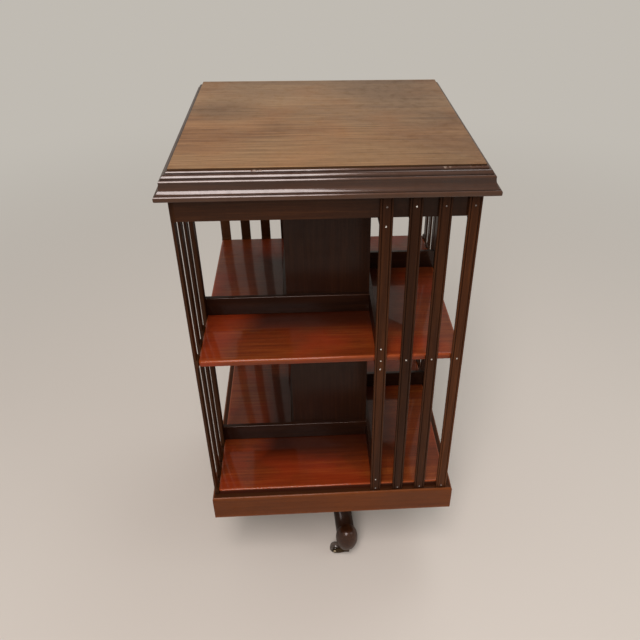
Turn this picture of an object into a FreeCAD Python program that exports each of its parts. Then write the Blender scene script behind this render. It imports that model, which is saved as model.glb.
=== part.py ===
"""Revolving bookcase for standing on the floor: a square two-tier case of dark mahogany that turns on
an iron spindle above a cross-shaped base with four castors.

Frame: millimetres, +Z up, floor at Z = 0, the turning axis is the Z axis. The front of the case looks
towards -Y. The case is a pinwheel: each side is the front side turned by a quarter about the axis."""

import FreeCAD, Part
import math
import os

from FreeCAD import Vector

os.makedirs("parts", exist_ok=True)

# Driving dimensions, in millimetres unless the name says degrees

# Castors
wheel_diameter = 26.0
wheel_width = 15.0
wheel_side_gap = 0.5           # wheel to the fork's cheeks
axle_diameter = 5.0
running_clearance = 0.05       # radial clearance of a shaft in its bore
trail = 24.0                   # swivel axis to wheel axle, measured along the floor
horn_boss_height = 9.0
horn_boss_tail = 8.0           # from the swivel axis away from the wheel
horn_cheek_thickness = 2.5
horn_eye_half = 5.5            # half the width of a cheek at the axle
horn_eye_clip = 3.0            # corners cut off round the axle
wheel_to_boss_gap = 1.0
wheel_to_plate_gap = 0.8       # wheel to the castor plate above it
swivel_gap = 0.3               # horn boss to castor plate
swivel_pin_diameter = 7.0
swivel_pin_spare = 0.3         # pin end to the underside of the toe
castor_plate_thickness = 2.5
castor_plate_side = 21.0
castor_swivel_degrees = (165.0, 292.0, 75.0, 158.0)   # where each wheel trails, as pushed about

# Cross base
base_turn_degrees = 8.4        # the base stands turned against the case
arm_width = 36.0
arm_depth = 44.0               # at the middle of the cross
arm_flat = 62.0                # flat stretch each side of the middle
arm_edge_bevel = 4.0
arm_rise = 160.7               # from the underside of a toe to the top of the cross
leg_shoulder_radius = 50.0
leg_upper_slope_degrees = 52.0
leg_neck_slope_degrees = 10.0
leg_under_slope_degrees = 47.0
leg_groin_half = 50.0          # where the leg's underside leaves the flat, from the middle
leg_meets_toe = 50.9           # height of the leg's top line at the middle of the toe
leg_heel_height = 12.0         # height of the leg's underside where it runs into the toe
toe_reach = 193.5              # turning axis to the middle of a toe
toe_radius = 23.0
toe_foot_radius = 15.0
toe_height = 55.0
toe_belly_height = 24.0        # where the toe gets its full width, above its underside
toe_shoulder_height = 38.0     # where the toe begins to close again
toe_crown_radius = 13.0

# Spindle and bearing
spindle_diameter = 16.0
spindle_above_plate = 12.0
collar_radius = 20.0           # collar of the spindle, which carries the case
collar_height = 13.0
spider_length = 112.0          # iron cross let onto the wooden one, holding the spindle upright
spider_width = 32.0
spider_thickness = 8.0
bearing_gap = 0.3              # collar on the base to plate on the case
bearing_plate_side = 112.0
bearing_plate_thickness = 5.0
top_plate_side = 60.0
top_plate_thickness = 4.0
nut_across_flats = 27.0
nut_height = 12.0
spindle_hole_clearance = 4.0   # round the spindle where nothing bears on it

# Case
case_width = 436.4             # over shelf edges and frieze, without the slats
plinth_projection = 11.6       # plinth beyond the case, on each side
plinth_height = 53.5
plinth_thickness = 20.0
plinth_edge_round = 4.0
plinth_foot_bevel = 1.0
bearer_width = 150.0
bearer_thickness = 18.0
bottom_shelf_thickness = 11.0
shelf_edge_round = 2.5
lower_tier_height = 295.5
mid_shelf_thickness = 12.0
upper_tier_height = 249.0      # mid shelf to the underside of the frieze
frieze_height = 38.2
frieze_thickness = 16.0
sub_top_thickness = 12.0
core_width = 148.0
core_board_thickness = 10.0
core_fit = 0.2                 # shelf hole to the core's boards
stop_rail_height = 36.0
stop_rail_thickness = 8.0
rail_brad_setback = 6.5        # from the core to the brads in the rails' ends
head_rail_height = 23.0
rail_edge_bevel = 1.5
corner_block_leg = 42.0
corner_block_setback = 6.0     # plinth block above the plinth's foot

# Slats
slat_width = 19.5
slat_pitch = 42.5
slats_per_side = 4
slat_thickness = 7.3
slat_bead_width = 3.2          # bead along each edge of the face
slat_bead_bevel = 0.9          # off both arrises of a bead
slat_quirk = 0.9
brad_side = 2.2                # cut brads, square in section, driven until they stand just proud
brad_rise = 0.4
brad_length = 20.0

# Top
top_overhang = 21.8            # moulded edge beyond the case, on each side
top_panel_thickness = 20.0
panel_quirk = 2.2              # fall from the flat of the panel to the moulding
thumb_radius = 2.6             # top bead
thumb_quirk = 0.9
ovolo_step = 1.2
ovolo_radius = 5.1
ovolo_quirk = 0.9
bead_step = 1.2
bead_radius = 2.2
bead_drop = 0.8
cove_projection = 5.6
cove_height = 15.0
lip_quirk = 1.0
lip_step = 1.3
lip_top_radius = 1.8
lip_face_height = 4.9
lip_under_radius = 2.5

# Levels and half widths that follow from the driving dimensions
wheel_radius = wheel_diameter / 2
axle_radius = axle_diameter / 2
spindle_radius = spindle_diameter / 2
castor_plate_z = wheel_diameter + wheel_to_plate_gap
horn_top = castor_plate_z - swivel_gap
toe_z = castor_plate_z + castor_plate_thickness
cross_top = toe_z + arm_rise
cross_bottom = cross_top - arm_depth
spider_top = cross_top + spider_thickness
collar_top = spider_top + collar_height
bearing_plate_z = collar_top + bearing_gap
bearer_z = bearing_plate_z + bearing_plate_thickness
plinth_top = bearer_z + bearer_thickness
plinth_bottom = plinth_top - plinth_height
bottom_shelf_top = plinth_top + bottom_shelf_thickness
mid_shelf_bottom = bottom_shelf_top + lower_tier_height
mid_shelf_top = mid_shelf_bottom + mid_shelf_thickness
frieze_bottom = mid_shelf_top + upper_tier_height
moulding_bottom = frieze_bottom + frieze_height
sub_top_top = frieze_bottom + sub_top_thickness
case_half = case_width / 2
core_half = core_width / 2
plinth_half = case_half + plinth_projection
top_half = case_half + top_overhang
frieze_in = case_half - frieze_thickness

# Corners of the moulded edge's profile: reach out from the panel and height above the underside
moulding_height = (panel_quirk + thumb_radius + thumb_quirk + ovolo_radius + ovolo_quirk + bead_radius
                   + bead_drop + cove_height + lip_quirk + lip_top_radius + lip_face_height
                   + lip_under_radius)
moulding_reach = (thumb_radius + ovolo_step + ovolo_radius + bead_step + bead_radius
                  + cove_projection + lip_step + lip_top_radius)
panel_half = top_half - moulding_reach
moulding_seat = panel_half - frieze_in
top_z = moulding_bottom + moulding_height


def box(x0, x1, y0, y1, z0, z1):
    """A block between two corners."""
    return Part.makeBox(x1 - x0, y1 - y0, z1 - z0, Vector(x0, y0, z0))


def disc(radius, z0, z1, x=0.0, y=0.0):
    """An upright cylinder between two levels."""
    return Part.makeCylinder(radius, z1 - z0, Vector(x, y, z0))


def turned(shape, degrees):
    """The shape turned about the Z axis."""
    copy = shape.copy()
    copy.rotate(Vector(0, 0, 0), Vector(0, 0, 1), degrees)
    return copy


def quarter_arc(start, end, centre):
    """The shorter arc between two points about a centre, all in one plane."""
    middle = (start - centre) + (end - centre)
    middle.normalize()
    through = centre + middle * (start - centre).Length
    return Part.Arc(start, through, end).toShape()


def prism(edges, direction):
    """A closed outline carried along a straight line."""
    return Part.Face(Part.Wire(edges)).extrude(direction)


def lines(points):
    """Straight edges from each point to the next."""
    return [Part.makeLine(a, b) for a, b in zip(points, points[1:])]


def mitre_wedge(half, z0, z1):
    """The quarter of a square frame that faces -Y, bounded by both mitres."""
    corners = [Vector(0, 0, z0), Vector(half, -half, z0), Vector(-half, -half, z0), Vector(0, 0, z0)]
    return prism(lines(corners), Vector(0, 0, z1 - z0))


def save(name, *shapes):
    """Writes one node, as one solid or as a group of separate solids."""
    shape = shapes[0] if len(shapes) == 1 else Part.makeCompound(list(shapes))
    shape.exportStep("parts/%s.step" % name)


side_names = ("front", "right", "back", "left")


def save_sides(name, shape):
    """Writes the piece of the front side, turned once for each side of the case."""
    for quarter, side in enumerate(side_names):
        save("%s_%s" % (name, side), turned(shape, 90 * quarter))


def four(shape):
    """The four copies of a piece, one for each side of the case."""
    return [turned(shape, 90 * quarter) for quarter in range(4)]


# Castor wheel, about its own swivel axis with the trail along +X

def castor_wheel():
    """A plain wheel, bored for the axle."""
    start = Vector(trail, -wheel_width / 2, wheel_radius)
    way = Vector(0, 1, 0)
    tread = Part.makeCylinder(wheel_radius, wheel_width, start, way)
    return tread.cut(Part.makeCylinder(axle_radius + running_clearance, wheel_width, start, way))


def castor_horn():
    """The fork: a boss round the swivel pin, two cheeks out to the axle, the axle itself and the pin."""
    boss_z = horn_top - horn_boss_height
    cheek_in = wheel_width / 2 + wheel_side_gap
    cheek_out = cheek_in + horn_cheek_thickness
    eye_bottom = wheel_radius - horn_eye_half
    eye_top = wheel_radius + horn_eye_half
    eye_end = trail + horn_eye_half
    boss_end = trail - wheel_radius - wheel_to_boss_gap
    outline = lines([Vector(-horn_boss_tail, 0, horn_top),
                     Vector(-horn_boss_tail, 0, boss_z),
                     Vector(trail - horn_eye_half, 0, eye_bottom),
                     Vector(eye_end - horn_eye_clip, 0, eye_bottom),
                     Vector(eye_end, 0, eye_bottom + horn_eye_clip),
                     Vector(eye_end, 0, eye_top - horn_eye_clip),
                     Vector(eye_end - horn_eye_clip, 0, eye_top),
                     Vector(boss_end, 0, horn_top),
                     Vector(-horn_boss_tail, 0, horn_top)])
    cheek = prism(outline, Vector(0, horn_cheek_thickness, 0))
    left = cheek.copy()
    left.translate(Vector(0, cheek_in, 0))
    right = cheek.copy()
    right.translate(Vector(0, -cheek_out, 0))
    boss = box(-horn_boss_tail, boss_end, -cheek_out, cheek_out, boss_z, horn_top)
    pin = disc(swivel_pin_diameter / 2, horn_top, toe_z - swivel_pin_spare)
    axle_start = Vector(trail, -cheek_in, wheel_radius)
    axle = Part.makeCylinder(axle_radius, 2 * cheek_in, axle_start, Vector(0, 1, 0))
    return boss.fuse([left, right, pin, axle]).removeSplitter()


def castor_plate():
    """The square plate under a toe, bored for the swivel pin."""
    half = castor_plate_side / 2
    plate = box(-half, half, -half, half, castor_plate_z, toe_z)
    return plate.cut(disc(swivel_pin_diameter / 2 + running_clearance, castor_plate_z, toe_z))


def at_toe(shape, quarter, swivel_degrees):
    """A castor piece turned to its swivel angle and set under the toe on one side."""
    angle = math.radians(base_turn_degrees + 90 * quarter - 90)
    copy = turned(shape, swivel_degrees)
    copy.translate(Vector(toe_reach * math.cos(angle), toe_reach * math.sin(angle), 0))
    return copy


for quarter, side in enumerate(side_names):
    swivel = castor_swivel_degrees[quarter]
    save("castor_wheel_%s" % side, at_toe(castor_wheel(), quarter, swivel))
    save("castor_horn_%s" % side, at_toe(castor_horn(), quarter, swivel))
plates = [at_toe(castor_plate(), quarter, base_turn_degrees) for quarter in range(4)]
save("castor_plates", *plates)


# Cross base: two arms, halved into each other, each with a down-swept leg and a round toe at both ends

def bend(start, radius, from_degrees, to_degrees):
    """A round stretch in the XZ plane between two downward slopes; also gives where it ends."""
    a = math.radians(from_degrees)
    b = math.radians(to_degrees)
    centre = start + Vector(-radius * math.sin(a), 0, -radius * math.cos(a))

    def at(slope):
        return centre + Vector(radius * math.sin(slope), 0, radius * math.cos(slope))

    return Part.Arc(start, at((a + b) / 2), at(b)).toShape(), at(b)


def upper_line(start, end):
    """The top of a leg: a round shoulder, a straight slope and a hollow neck that ends in the toe."""
    slope = math.radians(leg_upper_slope_degrees)
    last = math.radians(leg_neck_slope_degrees)
    shoulder, top = bend(start, leg_shoulder_radius, 0, leg_upper_slope_degrees)
    run = end.x - top.x
    fall = top.z - end.z
    hollow_run = math.sin(slope) - math.sin(last)
    hollow_fall = math.cos(last) - math.cos(slope)
    scale = math.cos(slope) * hollow_fall - math.sin(slope) * hollow_run
    straight = (run * hollow_fall - fall * hollow_run) / scale
    radius = (math.cos(slope) * fall - math.sin(slope) * run) / scale
    low = top + Vector(straight * math.cos(slope), 0, -straight * math.sin(slope))
    neck, _ = bend(low, -radius, leg_upper_slope_degrees, leg_neck_slope_degrees)
    return [shoulder, Part.makeLine(top, low), neck]


def under_line(start, end):
    """The underside of a leg: a round groin and a straight slope down to the toe."""
    slope = math.radians(leg_under_slope_degrees)
    run = end.x - start.x
    fall = start.z - end.z
    radius = (run * math.sin(slope) - fall * math.cos(slope)) / (1 - math.cos(slope))
    groin, low = bend(start, radius, 0, leg_under_slope_degrees)
    return [groin, Part.makeLine(low, end)]


def arm_outline():
    """Side view of one arm, from toe to toe, in the XZ plane."""
    shoulder = Vector(arm_flat, 0, cross_top)
    neck = Vector(toe_reach, 0, toe_z + leg_meets_toe)
    sole = Vector(toe_reach, 0, toe_z + leg_heel_height)
    heel = Vector(toe_reach - toe_foot_radius, 0, sole.z)
    groin = Vector(leg_groin_half, 0, cross_bottom)
    half = upper_line(shoulder, neck) + under_line(groin, heel)
    half += lines([neck, sole, heel])
    mirrored = [e.mirror(Vector(0, 0, 0), Vector(1, 0, 0)) for e in half]
    top = Part.makeLine(Vector(-arm_flat, 0, cross_top), shoulder)
    bottom = Part.makeLine(groin, Vector(-leg_groin_half, 0, cross_bottom))
    return Part.Wire(Part.__sortEdges__(half + mirrored + [top, bottom]))


def toe():
    """The round toe: a turned pad that swells to its full width and closes again above the shoulder."""
    profile = [(0, 0),
               (toe_foot_radius, 0),
               (toe_radius, toe_belly_height),
               (toe_radius, toe_shoulder_height),
               (toe_crown_radius, toe_height),
               (0, toe_height),
               (0, 0)]
    points = [Vector(radius, 0, toe_z + height) for radius, height in profile]
    pad = Part.Face(Part.Wire(lines(points))).revolve(Vector(0, 0, 0), Vector(0, 0, 1), 360)
    pad.translate(Vector(toe_reach, 0, 0))
    return pad


def cross_arm():
    """One arm with both toes, the top edges of its flat and legs bevelled, drilled for the spindle."""
    bar = Part.Face(arm_outline()).extrude(Vector(0, arm_width, 0))
    bar.translate(Vector(0, -arm_width / 2, 0))
    arrises = [e for e in bar.Edges
               if e.BoundBox.YLength < 1e-6 and e.CenterOfMass.z > toe_z + leg_meets_toe
               and on_top(bar, e)]
    bar = bar.makeChamfer(arm_edge_bevel, arrises)
    far_toe = toe().mirror(Vector(0, 0, 0), Vector(1, 0, 0))
    arm = bar.fuse([toe(), far_toe]).removeSplitter()
    return arm.cut(disc(spindle_radius, cross_bottom, cross_top))


def on_top(bar, edge):
    """Whether the bar lies under an edge: true for the edges of its upper side."""
    middle = edge.valueAt((edge.FirstParameter + edge.LastParameter) / 2)
    inwards = Vector(0, -math.copysign(1, middle.y), -1)
    return bar.isInside(middle + inwards, 1e-6, False)


lap_z = (cross_top + cross_bottom) / 2
lap = arm_width / 2
arm = cross_arm()
arm_over = arm.cut(box(-lap, lap, -arm_width, arm_width, cross_bottom, lap_z))
arm_under = turned(arm, 90).cut(box(-arm_width, arm_width, -lap, lap, lap_z, cross_top))
save("cross_arm_over", turned(arm_over, base_turn_degrees))
save("cross_arm_under", turned(arm_under, base_turn_degrees))


# Spindle, the iron spider that holds it on the cross, and the plates under and on top of the case

half_length = spider_length / 2
half_width = spider_width / 2
spider = box(-half_length, half_length, -half_width, half_width, cross_top, spider_top)
spider = spider.fuse(turned(spider, 90)).removeSplitter().cut(disc(spindle_radius, cross_top, spider_top))
save("spindle_spider", turned(spider, base_turn_degrees))

nut_z = cross_bottom - nut_height
nut_corner = nut_across_flats / math.sqrt(3)
hexagon = [Vector(nut_corner * math.cos(math.radians(60 * i)),
                  nut_corner * math.sin(math.radians(60 * i)),
                  nut_z) for i in range(7)]
nut = prism(lines(hexagon), Vector(0, 0, nut_height))
save("spindle_nut", nut.cut(disc(spindle_radius, nut_z, cross_bottom)))

top_plate_top = sub_top_top + top_plate_thickness
spindle = disc(spindle_radius, nut_z, top_plate_top + spindle_above_plate)
save("spindle", spindle.fuse(disc(collar_radius, spider_top, collar_top)).removeSplitter())


def square_plate(side, z0, z1):
    """An iron plate with a running bore for the spindle."""
    half = side / 2
    bore = disc(spindle_radius + running_clearance, z0, z1)
    return box(-half, half, -half, half, z0, z1).cut(bore)


save("bearing_plate", square_plate(bearing_plate_side, bearing_plate_z, bearer_z))
save("top_plate", square_plate(top_plate_side, sub_top_top, top_plate_top))


# Brads: at each board that a slat crosses, and into the ends of the rails behind the first slat

lower_head_z = mid_shelf_bottom - head_rail_height
upper_head_z = frieze_bottom - head_rail_height


def brad(x, z):
    """A cut brad driven in from the face of a slat."""
    half = brad_side / 2
    tip_y = -case_half - slat_thickness - brad_rise
    return box(x - half, x + half, tip_y, tip_y + brad_length, z - half, z + half)


board_levels = [(plinth_top + bottom_shelf_top) / 2,
                (mid_shelf_bottom + mid_shelf_top) / 2,
                (frieze_bottom + moulding_bottom) / 2]
rail_levels = [bottom_shelf_top + stop_rail_height / 2,
               lower_head_z + head_rail_height / 2,
               mid_shelf_top + stop_rail_height / 2,
               upper_head_z + head_rail_height / 2]
rail_x = core_half + rail_brad_setback

slat_xs = [case_half - slat_width / 2 - slat_pitch * i for i in reversed(range(slats_per_side))]
brads = [brad(x, z) for x in slat_xs for z in board_levels] + [brad(rail_x, z) for z in rail_levels]
save("slat_brads", *[copy for b in brads for copy in four(b)])


# Plinth, bearer and bottom shelf

spindle_hole = spindle_radius + spindle_hole_clearance

plinth_in = plinth_half - plinth_thickness
plinth_corner = [Vector(-plinth_half, -plinth_in, plinth_top),
                 Vector(-plinth_half, -plinth_in, plinth_bottom),
                 Vector(-plinth_half, -plinth_half + plinth_foot_bevel, plinth_bottom),
                 Vector(-plinth_half, -plinth_half, plinth_bottom + plinth_foot_bevel),
                 Vector(-plinth_half, -plinth_half, plinth_top - plinth_edge_round)]
plinth_round_end = Vector(-plinth_half, -plinth_half + plinth_edge_round, plinth_top)
plinth_round_centre = Vector(-plinth_half, plinth_round_end.y, plinth_corner[-1].z)
plinth_profile = lines(plinth_corner)
plinth_profile.append(quarter_arc(plinth_corner[-1], plinth_round_end, plinth_round_centre))
plinth_profile.append(Part.makeLine(plinth_round_end, plinth_corner[0]))
plinth_bar = prism(plinth_profile, Vector(2 * plinth_half, 0, 0))
save_sides("plinth_rail", plinth_bar.common(mitre_wedge(plinth_half + 1, plinth_bottom, plinth_top)))


def corner_block(inner, z0, z1):
    """A three-sided block glued into the corner of a square frame."""
    corner = Vector(inner, -inner, z0)
    points = [corner,
              corner + Vector(-corner_block_leg, 0, 0),
              corner + Vector(0, corner_block_leg, 0),
              corner]
    return prism(lines(points), Vector(0, 0, z1 - z0))


plinth_blocks = four(corner_block(plinth_in, plinth_bottom + corner_block_setback, plinth_top))
frieze_blocks = four(corner_block(frieze_in, sub_top_top, moulding_bottom))
save("corner_blocks", *(plinth_blocks + frieze_blocks))

bearer = box(-plinth_in, plinth_in, -bearer_width / 2, bearer_width / 2, bearer_z, plinth_top)
save("bottom_bearer", bearer.cut(disc(spindle_hole, bearer_z, plinth_top)))


def shelf(z0, z1, rounded_levels):
    """A square board over the whole case, with the named levels of its edge rounded."""
    board = box(-case_half, case_half, -case_half, case_half, z0, z1)
    arrises = [e for e in board.Edges
               if any(all(abs(v.Point.z - level) < 1e-6 for v in e.Vertexes) for level in rounded_levels)]
    return board.makeFillet(shelf_edge_round, arrises)


bottom_shelf = shelf(plinth_top, bottom_shelf_top, [bottom_shelf_top])
save("bottom_shelf", bottom_shelf.cut(disc(spindle_hole, plinth_top, bottom_shelf_top)))

core_hole = core_half + core_fit
mid_shelf = shelf(mid_shelf_bottom, mid_shelf_top, [mid_shelf_bottom, mid_shelf_top])
core_cut = box(-core_hole, core_hole, -core_hole, core_hole, mid_shelf_bottom, mid_shelf_top)
save("mid_shelf", mid_shelf.cut(core_cut))


# Core: four boards round the spindle, each lapping the edge of the next

core_in = core_half - core_board_thickness
save_sides("core_board", box(-core_half, core_in, -core_half, -core_in, bottom_shelf_top, frieze_bottom))


# Rails behind the books: a stop rail on each shelf and a head rail under the board above

def rail(z0, height, bevelled_level):
    """A rail along the back of the front compartment, from the left side to the next rail."""
    bar = box(-case_half, core_half, -core_half - stop_rail_thickness, -core_half, z0, z0 + height)
    arris = [e for e in bar.Edges
             if all(abs(v.Point.z - bevelled_level) < 1e-6 and v.Point.y < -core_half - 1e-6
                    for v in e.Vertexes)]
    return bar.makeChamfer(rail_edge_bevel, arris)


lower_stop = rail(bottom_shelf_top, stop_rail_height, bottom_shelf_top + stop_rail_height)
upper_stop = rail(mid_shelf_top, stop_rail_height, mid_shelf_top + stop_rail_height)
lower_head = rail(lower_head_z, head_rail_height, lower_head_z)
upper_head = rail(upper_head_z, head_rail_height, upper_head_z)
save("stop_rails", *(four(lower_stop) + four(upper_stop)))
save("head_rails", *(four(lower_head) + four(upper_head)))


# Frieze and sub-top

frieze_bar = box(-case_half, case_half, -case_half, -frieze_in, frieze_bottom, moulding_bottom)
frieze = frieze_bar.common(mitre_wedge(case_half + 1, frieze_bottom, moulding_bottom))
save_sides("frieze_rail", frieze)
sub_top = box(-frieze_in, frieze_in, -frieze_in, frieze_in, frieze_bottom, sub_top_top)
save("sub_top", sub_top.cut(disc(spindle_hole, frieze_bottom, sub_top_top)))


# Slats: four on the right of each side, moulded on the face, with a brad at each board they cross

def slat_blank():
    """A slat about X = 0 with its back on Y = 0: a bead and a quirk along both edges of the face."""
    half = slat_width / 2
    face_y = -slat_thickness
    bead_y = face_y + slat_bead_bevel
    bead_in = half - slat_bead_width
    right = [Vector(bead_in - slat_quirk, face_y, 0),
             Vector(bead_in, bead_y, 0),
             Vector(bead_in + slat_bead_bevel, face_y, 0),
             Vector(half - slat_bead_bevel, face_y, 0),
             Vector(half, bead_y, 0),
             Vector(half, 0, 0)]
    left = [Vector(-point.x, point.y, 0) for point in reversed(right)]
    blank = prism(lines(right + left + right[:1]), Vector(0, 0, moulding_bottom - plinth_top))
    blank.translate(Vector(0, -case_half, plinth_top))
    return blank


for number, x in enumerate(slat_xs, 1):
    slat = slat_blank()
    slat.translate(Vector(x, 0, 0))
    save_sides("slat_%d" % number, slat)


# Top: a flat panel held in a mitred frame with a moulded edge

def moulded_profile():
    """The moulding's section at X = -top_half: thumb bead, ovolo, small bead, cove and lip."""
    y = -panel_half
    z = top_z - panel_quirk
    edges = []

    def to(dy, dz):
        """A straight stretch, outwards by dy and down by dz."""
        nonlocal y, z
        edges.append(Part.makeLine(Vector(-top_half, y, z), Vector(-top_half, y - dy, z - dz)))
        y -= dy
        z -= dz

    def bulge(dy, dz, centre_dy, centre_dz):
        """A round stretch about a centre, both given outwards and down from where it starts."""
        nonlocal y, z
        start = Vector(-top_half, y, z)
        end = Vector(-top_half, y - dy, z - dz)
        centre = Vector(-top_half, y - centre_dy, z - centre_dz)
        edges.append(quarter_arc(start, end, centre))
        y -= dy
        z -= dz

    cove_radius = (cove_projection ** 2 + cove_height ** 2) / (2 * cove_projection)
    bulge(thumb_radius, thumb_radius, 0, thumb_radius)
    to(0, thumb_quirk)
    to(ovolo_step, 0)
    bulge(ovolo_radius, ovolo_radius, 0, ovolo_radius)
    to(0, ovolo_quirk)
    to(bead_step, 0)
    bulge(bead_radius, bead_radius, 0, bead_radius)
    to(0, bead_drop)
    bulge(cove_projection, cove_height, cove_radius, 0)
    to(0, lip_quirk)
    to(lip_step, 0)
    bulge(lip_top_radius, lip_top_radius, 0, lip_top_radius)
    to(0, lip_face_height)
    bulge(-lip_under_radius, lip_under_radius, -lip_under_radius, 0)
    to(-(moulding_reach - lip_under_radius + moulding_seat), 0)
    to(0, -(moulding_height - top_panel_thickness))
    to(moulding_seat, 0)
    to(0, panel_quirk - top_panel_thickness)
    return edges


moulding_bar = prism(moulded_profile(), Vector(2 * top_half, 0, 0))
save_sides("top_moulding", moulding_bar.common(mitre_wedge(top_half + 1, moulding_bottom, top_z)))
save("top_panel", box(-panel_half, panel_half, -panel_half, panel_half, top_z - top_panel_thickness, top_z))
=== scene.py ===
# %% [markdown]
# # A revolving bookcase in polished mahogany
#
# The CAD model already has every board, slat and castor in its right place. This lesson dresses it: it
# builds the smooth mouldings, rounded edges and turned feet that catch the light, and gives each wood
# and metal a finish worked out from formulas. Everything is in metres, with the turning axis of the
# case on the Z axis and the floor at zero.

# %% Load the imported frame
import math

import bmesh
import bpy
import numpy as np
from mathutils import Matrix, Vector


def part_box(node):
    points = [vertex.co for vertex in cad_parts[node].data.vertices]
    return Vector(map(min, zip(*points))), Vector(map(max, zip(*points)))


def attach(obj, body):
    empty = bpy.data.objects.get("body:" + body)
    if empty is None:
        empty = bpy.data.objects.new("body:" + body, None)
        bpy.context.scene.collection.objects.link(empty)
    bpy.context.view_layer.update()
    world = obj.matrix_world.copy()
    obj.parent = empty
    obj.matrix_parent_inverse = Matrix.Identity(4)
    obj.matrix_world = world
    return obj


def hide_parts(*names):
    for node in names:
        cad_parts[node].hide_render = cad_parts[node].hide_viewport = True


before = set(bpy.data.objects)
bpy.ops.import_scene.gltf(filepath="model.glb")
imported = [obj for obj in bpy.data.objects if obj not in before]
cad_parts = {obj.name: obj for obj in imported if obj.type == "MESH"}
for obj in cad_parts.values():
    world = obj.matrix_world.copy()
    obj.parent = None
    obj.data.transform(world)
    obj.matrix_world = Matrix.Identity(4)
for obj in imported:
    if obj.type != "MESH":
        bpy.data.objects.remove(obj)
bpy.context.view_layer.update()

# %% [markdown]
# ## The camera
#
# The camera stands in front of the case and a little to its left, well above the top, and looks down.
# Its lens, place and tilt were fitted to the straight edges of the top, the shelves and the plinth, so
# the render lies over the photographed outline. A tilted camera is easiest to state by the three
# directions it has: to its right, up, and forward.

# %% Camera
focal_length_px = 669.2
picture_px = 640
lens_centre_px = (351.8, 342.5)
yaw, pitch, roll = np.radians([-4.15, 35.81, 0.56])
eye = np.array([-0.0308, -1.0998, 1.2194])

forward = np.array([-np.sin(yaw) * np.cos(pitch), np.cos(yaw) * np.cos(pitch), -np.sin(pitch)])
level = np.array([np.cos(yaw), np.sin(yaw), 0.0])
upright = np.cross(level, forward)
right = np.cos(roll) * level + np.sin(roll) * upright
up = np.cos(roll) * upright - np.sin(roll) * level

lens = bpy.data.cameras.new("camera")
lens.sensor_width = 36.0
lens.lens = focal_length_px / picture_px * lens.sensor_width
lens.shift_x = 0.5 - lens_centre_px[0] / picture_px
lens.shift_y = lens_centre_px[1] / picture_px - 0.5
lens.clip_end = 200.0


def stand(thing, directions, place):
    """Puts an object into the scene at a place, with its own X, Y and Z along three directions."""
    bpy.context.collection.objects.link(thing)
    axes = np.array(directions).T
    thing.matrix_world = Matrix([[*row, p] for row, p in zip(axes, place)] + [[0, 0, 0, 1]])


camera = bpy.data.objects.new("camera", lens)
stand(camera, (right, up, -forward), eye)
bpy.context.scene.camera = camera
print("lens", round(lens.lens, 2), "mm, shift", round(lens.shift_x, 4), round(lens.shift_y, 4))

# %% [markdown]
# ## Shader sums in plain Python
#
# A finish is a sum of many small patterns. Written as nodes by hand it's a maze, so one small class
# wraps a socket and lets Python's own operators add the Math nodes. Every other node comes from one
# method, which takes the node's type, its settings and what goes into its sockets. The air and the
# floor are made with the same tools as the woods.

# %% One value and one tree of nodes
class Value:
    """A number, colour or shader that varies over a surface. Arithmetic on it adds Math nodes."""

    def __init__(self, nodes, socket):
        self.nodes = nodes
        self.socket = socket

    def math(self, operation, *terms, clamp=False):
        return self.nodes.node("ShaderNodeMath", {"operation": operation, "use_clamp": clamp},
                               dict(enumerate(terms)))

    def __add__(self, other):
        return self.math("ADD", self, other)

    def __sub__(self, other):
        return self.math("SUBTRACT", self, other)

    def __rsub__(self, other):
        return self.math("SUBTRACT", other, self)

    def __mul__(self, other):
        return self.math("MULTIPLY", self, other)

    def __abs__(self):
        return self.math("ABSOLUTE", self)

    __radd__ = __add__
    __rmul__ = __mul__

    def larger(self, other):
        """The larger of two values."""
        return self.math("MAXIMUM", self, other)

    def between(self, low, high):
        """0 below low, 1 above high and a smooth step from one to the other."""
        return self.nodes.node("ShaderNodeMapRange", {"interpolation_type": "SMOOTHSTEP"},
                               {0: self, 1: low, 2: high})

    def held(self):
        """Kept from 0 to 1."""
        return self.math("ADD", self, 0.0, clamp=True)


class Nodes:
    """The nodes of one material, or of the world."""

    def __init__(self, tree):
        self.tree = tree

    def node(self, kind, settings, sockets, output=0):
        """Adds a node: its settings first, then a value or a link for each socket."""
        node = self.tree.nodes.new(kind)
        for key, value in settings.items():
            if key == "stops":
                ramp = node.color_ramp.elements
                while len(ramp) < len(value):
                    ramp.new(0.5)
                for stop, (position, colour) in zip(ramp, value):
                    stop.position = position
                    stop.color = (*colour, 1.0)
            else:
                setattr(node, key, value)
        for key, value in sockets.items():
            if isinstance(value, Value):
                self.tree.links.new(value.socket, node.inputs[key])
            else:
                node.inputs[key].default_value = value
        return Value(self, node.outputs[output])

    def shown_rays(self):
        """1 for the rays that look: those of the camera, of mirrors and of glass."""
        camera_ray, glossy, through = (self.node("ShaderNodeLightPath", {}, {}, "Is %s Ray" % kind)
                                       for kind in ("Camera", "Glossy", "Transmission"))
        return camera_ray.larger(glossy).larger(through)

    def mixed(self, factor, first, second):
        """The first shader where the factor is 0, and the second where it is 1."""
        return self.node("ShaderNodeMixShader", {}, {0: factor, 1: first, 2: second})

    def end(self, shader):
        """Sends a shader to the output node that the tree came with."""
        output = next(node for node in self.tree.nodes if "Output" in node.name)
        self.tree.links.new(shader.socket, output.inputs["Surface"])


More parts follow.
